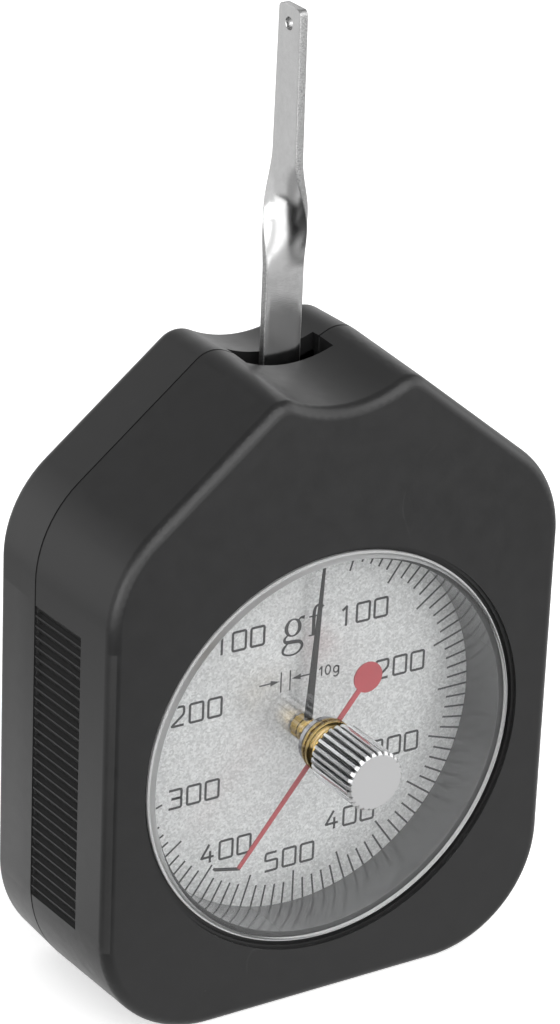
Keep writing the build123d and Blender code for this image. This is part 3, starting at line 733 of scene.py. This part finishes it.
def strip_section():
    """The section's points, anticlockwise from a corner: corner signs, arc and slide of each.

    A point lies at slide * sign * (half - corner) + corner * arc. The four corners are arcs of
    five points, and seven points run along each long side between two corners.
    """
    arc = np.linspace(0, np.pi / 2, 5)
    quarter = np.stack([np.cos(arc), np.sin(arc)], -1)
    side = np.linspace(1, -1, 9)[1:-1]
    signs, arcs, slides = [], [], []
    for turn, (sx, sy) in enumerate(((1, 1), (-1, 1), (-1, -1), (1, -1))):
        swing = quarter if turn % 2 == 0 else quarter[::-1]
        signs += [(sx, sy)] * 5
        arcs += list(swing * (sx, sy))
        slides += [1.0] * 5
        if turn % 2 == 0:
            signs += [(sx, sy)] * 7
            arcs += [(0.0, sy)] * 7
            slides += list(side)
    return np.array(signs, float), np.array(arcs), np.array(slides)


def blade_points():
    """Points of the twisted strip, and which of them are on its sheared sides.

    At height z the section is turned by -90 degrees times s*s*(3-2s), where s runs from 0 to 1
    over the twist. Its half width narrows evenly above the twist by 0.25 mm, and near the tip
    it shrinks along a quarter circle.
    """
    foot, twist_low, twist_high, tip = 62.15, 83.0, 96.5, 112.8
    half_width, narrowing, half_thick, corner, tip_round = 2.4, 0.25, 0.5, 0.13, 0.6
    signs, arcs, slides = strip_section()
    rise = np.concatenate([
        np.linspace(foot, twist_low - 1, 14),
        np.linspace(twist_low - 0.8, twist_high + 0.8, 72),
        np.linspace(twist_high + 1.2, tip - tip_round, 16),
        tip - tip_round + tip_round * np.sin(np.linspace(0, np.pi / 2, 10)[1:]),
    ])
    share = np.clip((rise - twist_low) / (twist_high - twist_low), 0, 1)
    turn = np.radians(-90) * share * share * (3 - 2 * share)
    half = half_width - narrowing * np.clip((rise - twist_high) / (tip - twist_high), 0, 1)
    past = np.clip(rise - (tip - tip_round), 0, tip_round)
    half = half - tip_round + np.sqrt(tip_round**2 - past**2)

    wide = slides * signs[:, 0] * (half[:, None] - corner) + corner * arcs[:, 0]
    thin = np.broadcast_to(signs[:, 1] * (half_thick - corner) + corner * arcs[:, 1], wide.shape)
    cos, sin = np.cos(turn)[:, None], np.sin(turn)[:, None]
    x, y = wide * cos - thin * sin, strip_middle + wide * sin + thin * cos
    points = np.stack([x, y, np.broadcast_to(rise[:, None], x.shape)], -1)
    sheared = np.broadcast_to((np.abs(arcs[:, 0]) > 0.35) * (np.abs(slides) > 0.99), x.shape)
    return points, sheared


print("feeler: rows, points in a row and axes are", blade_points()[0].shape)

# %% [markdown]
# ## The eye near the feeler's tip
#
# A thread or a hook goes through a small countersunk hole. The drill is a turned shape
# along X, wider at its two ends, and a Boolean modifier takes it away from the strip.

# %% Feeler with its eye
def make_blade():
    """The strip less a drill whose radius is 0.70 mm inside and 0.82 mm past both faces."""
    eye_height, segments = 110.9, 48
    points, sheared = blade_points()
    blade = surface("feeler_blade", points, "lever", "blade_steel", sharp=40)
    edge = blade.data.attributes.new("sheared", "FLOAT", "POINT")
    edge.data.foreach_set("value", sheared.astype(np.float32).ravel())
    rim = np.array([(0.82, -0.6), (0.70, -0.44), (0.70, 0.44), (0.82, 0.6)])
    angle = np.linspace(0, 2 * np.pi, segments, endpoint=False)
    drill = np.stack([
        np.broadcast_to(rim[:, 1:], (len(rim), segments)),
        strip_middle + rim[:, :1] * np.cos(angle),
        eye_height + rim[:, :1] * np.sin(angle),
    ], -1)
    cutter = surface("drill", drill, "lever", "blade_steel")
    cut = blade.modifiers.new("eye", "BOOLEAN")
    cut.object, cut.solver, cut.operation = cutter, "EXACT", "DIFFERENCE"
    bpy.context.view_layer.update()
    seen = blade.evaluated_get(bpy.context.evaluated_depsgraph_get())
    drilled = bpy.data.meshes.new_from_object(seen)
    blade.modifiers.clear()
    blade.data = drilled
    drilled.set_sharp_from_angle(angle=math.radians(40))
    bpy.data.objects.remove(cutter)
    print("feeler with its eye:", len(drilled.polygons), "faces")
    return blade


blade = make_blade()
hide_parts("lever_blade")

# %% [markdown]
# ## The knob
#
# The knob is turned and then fluted: straight grooves run its whole length and cut
# through the bevel at its end, which leaves the bright zigzag rim. The smaller of two
# radii, the turned one and the fluted one, gives that rim without any Boolean.

# %% Fluted knob
def knob_points():
    """Radius = the turned profile, but never more than R - depth * groove(angle).

    groove(angle) is cos(flutes * angle) + 0.15, no less than 0, raised to 0.9: the grooves are
    deep and round and the lands between them stay flat.
    """
    radius, flutes, depth, front, rear = 3.58, 26, 0.40, -20.35, -12.5
    profile = np.array([
        (0.4, front), (1.6, front), (2.7, front), (3.22, front), (3.27, front + 0.01),
        (3.33, front + 0.06), (3.53, front + 0.26), (radius, front + 0.36),
        (radius, front + 0.6), (radius, front + 2.5), (radius, -15.5), (radius, rear - 0.6),
        (radius, rear - 0.2), (3.4, rear), (1.6, rear),
    ])
    angle = np.linspace(0, 2 * np.pi, flutes * 20, endpoint=False)
    groove = np.clip(np.cos(flutes * angle) + 0.15, 0, 1.15) ** 0.9
    reach = np.minimum(profile[:, :1], radius - depth * groove)
    return around_axis(reach, profile[:, 1:], angle)


knob = surface("fluted_knob", knob_points(), "drag", "knob_chrome", sharp=25)
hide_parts("knob")

# %% [markdown]
# ## Window, its seal and the bush
#
# The window is a flat disc of acrylic with a bevelled rim. A thin line of grey sealant
# grips the rim and shows through the disc as a pale ring. The sealant bites a hundredth
# of a millimetre into the disc, so no mirror of air is left between them. The brass bush
# in the middle has a groove round its flange. All are profiles swept round the axis.

# %% Window, seal and bush
window_profile = [
    (2.6, -12.0), (23.08, -12.0), (23.14, -11.985), (23.62, -11.52), (23.65, -11.45),
    (23.65, -11.36), (23.40, -11.36), (23.40, -10.46), (2.6, -10.46),
]
seal_profile = [
    (23.39, -11.37), (23.66, -11.37), (23.72, -11.30), (23.72, -10.405), (23.39, -10.405),
]
bush_profile = [
    (1.03, -12.3), (2.75, -12.3), (2.93, -12.26), (3.08, -12.13), (3.13, -12.0), (2.6, -12.0),
    (2.6, -10.4), (3.10, -10.4), (3.15, -10.36), (3.15, -10.02), (3.11, -9.97), (2.97, -9.93),
    (2.93, -9.86), (2.93, -9.76), (2.97, -9.69), (3.11, -9.65), (3.15, -9.60), (3.15, -9.36),
    (3.12, -9.27), (3.02, -9.2), (1.03, -9.2),
]
window = surface(
    "bevelled_window", revolve(window_profile, 384), "case", "lens_plastic", close_rows=True,
    sharp=5)
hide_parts("window_lens")
surface(
    "window_seal", revolve(seal_profile, 256), "case", "case_plastic", "window_seal",
    close_rows=True)
bush = surface(
    "grooved_bush", revolve(bush_profile, 192), "case", "turned_brass", close_rows=True)
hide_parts("lens_bush")

# %% [markdown]
# ## The dial's print
#
# The graduations and numerals are printed in dark grey ink. Ink has a tiny thickness, so
# the print is thin plates, a few hundredths of a millimetre proud of the dial. Every
# stroke is a ribbon: points to each side of a path, half the pen's width away, so one
# function draws ticks, numerals and letters.

# %% Ribbons
ink_front, ink_back = -4.03, -3.995  # mm along Y, in front of the dial's face and just inside it


def unit_rows(steps):
    """Each row divided by its own length."""
    return steps / np.linalg.norm(steps, axis=1)[:, None]


def ribbon_mesh(paths):
    """Vertices and faces of thin plates along open or closed paths.

    Each path is (points, widths, closed). Side points lie half a width along the mitred
    normal; the front edge loop and the back edge loop are joined all round.
    """
    vertices, faces, start = [], [], 0
    for points, widths, closed in paths:
        points = np.array(points, float)
        count = len(points)
        widths = np.broadcast_to(np.array(widths, float), (count,))
        if closed:
            before, after = np.roll(points, 1, 0), np.roll(points, -1, 0)
        else:
            before = np.vstack([points[:1] * 2 - points[1:2], points[:-1]])
            after = np.vstack([points[1:], points[-1:] * 2 - points[-2:-1]])
        first, second = unit_rows(points - before), unit_rows(after - points)
        middle = unit_rows(first + second)
        stretch = 1 / np.clip((middle * first).sum(1), 0.5, 1)
        normal = np.stack([-middle[:, 1], middle[:, 0]], -1) * (widths / 2 * stretch)[:, None]
        left, right = points + normal, points - normal
        for side, depth in (
            (left, ink_front), (right, ink_front), (right, ink_back), (left, ink_back)
        ):
            along = np.full(count, depth)
            vertices.append(np.stack([side[:, 0], along, axis_height + side[:, 1]], -1))
        k = np.arange(count if closed else count - 1)
        n = (k + 1) % count
        for lane in range(4):
            a, b = start + lane * count, start + (lane + 1) % 4 * count
            faces += np.stack([a + k, a + n, b + n, b + k], -1).tolist()
        if not closed:
            faces.append([start + lane * count for lane in range(4)])
            faces.append([start + lane * count + count - 1 for lane in (3, 2, 1, 0)])
        start += 4 * count
    return np.vstack(vertices), faces


def print_ink(name, paths):
    """Prints ribbons on the dial as one piece."""
    vertices, faces = ribbon_mesh(paths)
    mesh = bpy.data.meshes.new(name)
    mesh.from_pydata((vertices * mm).tolist(), [], faces)
    finish_mesh(mesh, 30)
    show(name, mesh, "case", "dial_silver", "dial_ink")


print("ink plates are", round(ink_back - ink_front, 3), "mm thick")

# %% [markdown]
# ## Graduations
#
# The scale runs from 50 to 500 each way from a zero at the top, so its two ends meet at
# the bottom. A tick stands every 3.6 degrees for each 10, and the fifties reach further
# in, which lets the eye count them.

# %% Graduations
def graduation_paths():
    """A tick at 0.36 degrees times its value, on both sides; the two 500s are one tick."""
    values = np.arange(50, 501, 10)
    paths = []
    for side in (-1, 1):
        for value in values if side > 0 else values[:-1]:
            angle = math.radians(side * value * 0.36)
            inner = 18.70 if value % 50 == 0 else 19.97
            way = np.array([math.sin(angle), math.cos(angle)])
            paths.append(([way * inner, way * 22.95], 0.22, False))
    return paths


print_ink("dial_graduations", graduation_paths())

# %% [markdown]
# ## Numerals
#
# The numbers are in a squared technical type: single strokes of one thin pen, with
# small rounds at the corners. Each figure is a few short paths, drawn once and used in
# every number. A font would bring hundreds of points for the same look.

# %% Figures
def bend(points, radius, steps=4):
    """Rounds the corners of a path: each is a quadratic curve that starts a radius before it."""
    points = np.array(points, float)
    out = [points[0]]
    for before, corner, after in zip(points[:-2], points[1:-1], points[2:]):
        first, second = before - corner, after - corner
        reach = min(radius, np.linalg.norm(first) / 2, np.linalg.norm(second) / 2)
        start = corner + first / np.linalg.norm(first) * reach
        end = corner + second / np.linalg.norm(second) * reach
        t = np.linspace(0, 1, steps)[:, None]
        out += list((1 - t) ** 2 * start + 2 * t * (1 - t) * corner + t**2 * end)
    out.append(points[-1])
    return np.array(out)


def closed_box(width, height, radius, steps=4):
    """A rounded oblong from its lower left corner, as a closed path of four arcs."""
    arc = np.linspace(0, np.pi / 2, steps)
    far, top = width - radius, height - radius
    return np.vstack([
        np.stack([cx + radius * np.cos(arc + turn), cz + radius * np.sin(arc + turn)], -1)
        for cx, cz, turn in (
            (far, top, 0), (radius, top, np.pi / 2), (radius, radius, 2 * np.pi / 2),
            (far, radius, 3 * np.pi / 2))
    ])


zero_width, w, h, pen = 1.70, 1.62, 2.28, 0.29  # mm: a nought's and a figure's size, the stroke


def stroke(points, radius):
    """One open stroke of the pen, with rounded corners."""
    return bend(points, radius), pen, False


two = [(0, h - 0.42), (0, h), (w, h), (w, h * 0.58), (0, 0), (w, 0)]
five = [(w * 0.92, h), (0.08, h), (0, h * 0.58), (w, h * 0.58), (w, 0), (0, 0)]
figures = {
    "0": [(closed_box(zero_width, h, 0.22), pen, True)],
    "1": [stroke([(0.42, h - 0.42), (0.98, h), (0.98, -0.12)], 0.05)],
    "2": [stroke(two, 0.30)],
    "3": [stroke([(0, h), (w, h), (w, h * 0.52), (0.35, h * 0.52)], 0.25),
          stroke([(0.8, h * 0.52), (w, h * 0.52), (w, 0), (0, 0)], 0.25)],
    "4": [stroke([(w * 0.62, h), (0, h * 0.30), (w, h * 0.30)], 0.05),
          ([(w * 0.70, h * 0.62), (w * 0.70, -0.05)], pen, False)],
    "5": [stroke(five, 0.25)],
}
print("figures:", "".join(figures))

# %% [markdown]
# ## Setting the numbers
#
# Each number stands upright beside its tick. The list holds its text and the place of
# its middle figure, across and up from the dial's centre.

# %% Numerals
figure_pitch = 2.38


def numeral_paths(text, centre_x, centre_z):
    """The paths of a number whose middle figure, a nought, is centred on a point of the dial."""
    start = centre_x - figure_pitch - zero_width / 2
    base = centre_z - h / 2
    return [
        (np.array(points) + (start + place * figure_pitch, base), width, closed)
        for place, figure in enumerate(text)
        for points, width, closed in figures[figure]
    ]


numerals = [
    ("100", -8.45, 12.35), ("100", 7.85, 12.30), ("200", -13.7, 4.80), ("200", 13.25, 4.42),
    ("300", -13.7, -5.45), ("300", 13.00, -5.80), ("400", -9.20, -13.55),
    ("400", 7.40, -13.45), ("500", -0.65, -16.75),
]
print_ink("dial_numerals", [path for numeral in numerals for path in numeral_paths(*numeral)])

# %% [markdown]
# ## The unit
#
# Above the centre stands the unit, gf for gram-force, in a bookish type whose strokes
# swell and thin; a ribbon with a width at every point gives that. The bowl of the g is
# an oval, and the other strokes are smooth curves through a few points.

# %% Unit
def oval(cx, cz, rx, rz, thick, thin, steps=40):
    """A closed oval stroke, thick at its sides and thin at its top and bottom."""
    angle = np.linspace(0, 2 * np.pi, steps, endpoint=False)
    points = np.stack([cx + rx * np.cos(angle), cz + rz * np.sin(angle)], -1)
    return points, thin + (thick - thin) * np.abs(np.cos(angle)) ** 1.6, True


def swept(control, widths, steps=24):
    """A smooth open stroke: Catmull-Rom through its control points, with widths in between."""
    control = np.array(control, float)
    padded = np.vstack([2 * control[0] - control[1], control, 2 * control[-1] - control[-2]])
    count = len(control) - 1
    place = np.linspace(0, count, steps)
    k = np.minimum(place.astype(int), count - 1)
    t = (place - k)[:, None]
    a, b, c, d = padded[k], padded[k + 1], padded[k + 2], padded[k + 3]
    points = 0.5 * (
        2 * b + (c - a) * t + (2 * a - 5 * b + 4 * c - d) * t**2 + (3 * b - a - 3 * c + d) * t**3)
    return points, np.interp(place, np.arange(count + 1), widths), False


g_tail = [
    (-2.05, 11.62), (-2.52, 11.15), (-2.30, 10.72), (-1.30, 10.62), (-0.45, 10.45),
    (-0.18, 9.85), (-0.75, 9.18), (-1.70, 9.02), (-2.60, 9.35), (-2.62, 9.95), (-2.05, 10.58),
]
f_stem = [(2.42, 14.10), (2.05, 14.48), (1.52, 14.36), (1.28, 13.70), (1.26, 12.6), (1.26, 10.95)]
print_ink("dial_unit", [
    oval(-1.45, 12.38, 0.88, 1.02, 0.46, 0.16),
    swept([(-0.82, 13.12), (-0.45, 13.42), (0.02, 13.38)], [0.18, 0.26, 0.44], 10),
    swept(g_tail, [0.16, 0.30, 0.42, 0.46, 0.40, 0.34, 0.22, 0.20, 0.26, 0.34, 0.18], 60),
    swept(f_stem, [0.46, 0.22, 0.30, 0.42, 0.44, 0.44], 40),
    ([(0.62, 13.22), (2.10, 13.22)], 0.17, False),
    ([(0.66, 10.88), (1.94, 10.88)], 0.15, False),
])

# %% [markdown]
# ## The scale key
#
# Below the unit a small key says what one division is worth: two upright lines a
# division apart, an arrow towards each from outside, and the value beside them.

# %% Key
def arrow(tail, tip):
    """A line and a solid arrow head; the head is a ribbon that narrows to nothing."""
    head_length, head_width, line_width = 1.15, 0.68, 0.17
    tail, tip = np.array(tail, float), np.array(tip, float)
    way = (tip - tail) / np.linalg.norm(tip - tail)
    neck, point = tip - way * head_length, tip - way * 0.02
    return [([tail, neck], line_width, False), ([neck, point], [head_width, 0.02], False)]


small_pen = 0.17
g_hook = [(4.88, 6.28), (4.89, 5.70), (4.86, 5.25), (4.55, 5.02), (4.24, 5.14)]
print_ink("dial_key", [
    *[([(x, 4.65), (x, 7.15)], 0.16, False) for x in (-2.75, -1.55)],
    *arrow((-5.6, 6.05), (-2.98, 6.05)),
    *arrow((1.25, 6.05), (-1.32, 6.05)),
    (bend([(2.28, 6.28), (2.62, 6.62), (2.62, 5.48)], 0.03), small_pen, False),
    oval(3.45, 6.05, 0.33, 0.57, small_pen, small_pen, 28),
    oval(4.55, 5.90, 0.33, 0.40, small_pen, small_pen, 24),
    swept(g_hook, [small_pen] * len(g_hook), 20),
])

# %% [markdown]
# ## The floor
#
# A product stands on a pale sweep of paper with soft light all round. Black gloss and
# bright metal show what they mirror. So the floor is plain to the camera and to lamps,
# and mirrored rays, which a Light Path node picks out, see light and dark on it, as if
# cards lay about. That is what shapes the twist in the feeler and the case's edges.

# %% Floor
def mirrored_pattern(tree):
    """How bright the floor is to mirrored rays, from the place on it.

    Up to 180 mm out it fades with distance, ahead (y < 0) and behind in their own way, and is
    almost black beside the camera. Past 205 mm it is 0.85, but for a bright card ahead on the
    camera's side and a dark gap behind that. "toward" is -0.85 x - 0.53 y.
    """
    spot = put(tree, "TexCoord").outputs["Object"]
    place = put(tree, "SeparateXYZ", {}, (spot,)).outputs
    distance = put(tree, "VectorMath", {"operation": "LENGTH"}, (spot,)).outputs["Value"]
    toward = plus(tree, times(tree, place[0], -0.85), times(tree, place[1], -0.53))

    behind = fit_range(tree, distance, 0.06, 0.12, 1.0, 0.46)
    ahead = fit_range(tree, distance, 0.11, 0.165, 0.66, 0.22)
    around = blend_values(tree, fit_range(tree, place[1], -0.01, 0.03), ahead, behind)
    by_camera = times(
        tree, fit_range(tree, toward, 0.03, 0.06), fit_range(tree, place[1], 0.02, -0.02))
    near = blend_values(tree, by_camera, around, 0.02)

    this_side = fit_range(tree, toward, 0.08, 0.13)
    gap = times(tree, this_side, fit_range(tree, place[1], 0.035, 0.01))
    card = times(tree, this_side, fit_range(tree, place[1], -0.005, -0.03))
    far = blend_values(tree, card, blend_values(tree, gap, 0.85, 0.10), 1.9)
    return blend_values(tree, fit_range(tree, distance, 0.180, 0.205), near, far)


def make_floor():
    """Matt paper that glows a little to the camera, and the pattern to mirrored rays."""
    tree, shader = start_material(
        "studio_floor", Base_Color=grey(0.86), Roughness=0.9)
    path = put(tree, "LightPath").outputs
    mirrored = maths(tree, "MAXIMUM", path["Is Glossy Ray"], path["Is Transmission Ray"])
    glow = put(tree, "Emission", Strength=times(tree, path["Is Camera Ray"], 0.55))
    paper = put(tree, "AddShader", {}, (shader.outputs[0], glow.outputs[0]))
    cards = put(tree, "Emission", Strength=mirrored_pattern(tree))
    mixed = put(tree, "MixShader", {}, (mirrored, paper.outputs[0], cards.outputs[0]))
    tree.links.new(mixed.outputs[0], tree.nodes["Material Output"].inputs["Surface"])


bpy.ops.mesh.primitive_plane_add(size=8, location=(0, 0, 0))
floor = bpy.context.object
floor.name = "floor"
make_floor()
floor.data.materials.append(finishes["studio_floor"])

# %% [markdown]
# ## The surround
#
# The world round the object is white to the camera. Its light is kept moderate, so that
# black stays black, and in mirrors it darkens as it rises, like a room above its lamps.

# %% Surround
world = bpy.data.worlds.new("surround")
world.use_nodes = True
bpy.context.scene.world = world
sky = world.node_tree
seen = put(sky, "LightPath").outputs
mirrored = maths(sky, "MAXIMUM", seen["Is Glossy Ray"], seen["Is Transmission Ray"])
way = put(sky, "TexCoord").outputs["Generated"]
rise = put(sky, "SeparateXYZ", {}, (way,)).outputs[2]
to_mirrors = times(sky, mirrored, fit_range(sky, rise, 0.25, 0.60, 1.0, 0.32))
to_others = minus(sky, 0.6, times(sky, 0.6, mirrored))
strength = maths(sky, "MAXIMUM", seen["Is Camera Ray"], plus(sky, to_mirrors, to_others))
surround = sky.nodes["Background"]
surround.inputs["Color"].default_value = grey(1)
sky.links.new(strength, surround.inputs["Strength"])
print("surround:", len(sky.nodes), "nodes")

# %% [markdown]
# ## The lamps
#
# Three soft boxes: a wide key above the front, a fill on the right, and a small weak one
# close on the left for the side and the grip. Wide lamps leave no hot spots on gloss.

# %% Lamps
def lamp(name, place, aim, size, power):
    """A square soft lamp that looks at a point."""
    data = bpy.data.lights.new(name, "AREA")
    data.size, data.energy = size, power
    item = bpy.data.objects.new(name, data)
    item.location = place
    item.rotation_mode = "QUATERNION"
    item.rotation_quaternion = (Vector(aim) - Vector(place)).to_track_quat("-Z", "Y")
    bpy.context.scene.collection.objects.link(item)
    print(f"{name} lamp: {size} m across, {power} W")


lamp("key", (-0.10, -0.70, 0.62), (0, 0, 0.05), 1.0, 6.6)
lamp("fill", (0.7, -0.35, 0.45), (0, 0, 0.05), 0.9, 3.0)
lamp("side", (-0.42, -0.26, 0.14), (0, 0, 0.09), 0.26, 0.5)

# %% [markdown]
# ## The end of the lesson
#
# The Standard view shows colours as they are made, without a film curve.

bpy.context.scene.view_settings.view_transform = "Standard"
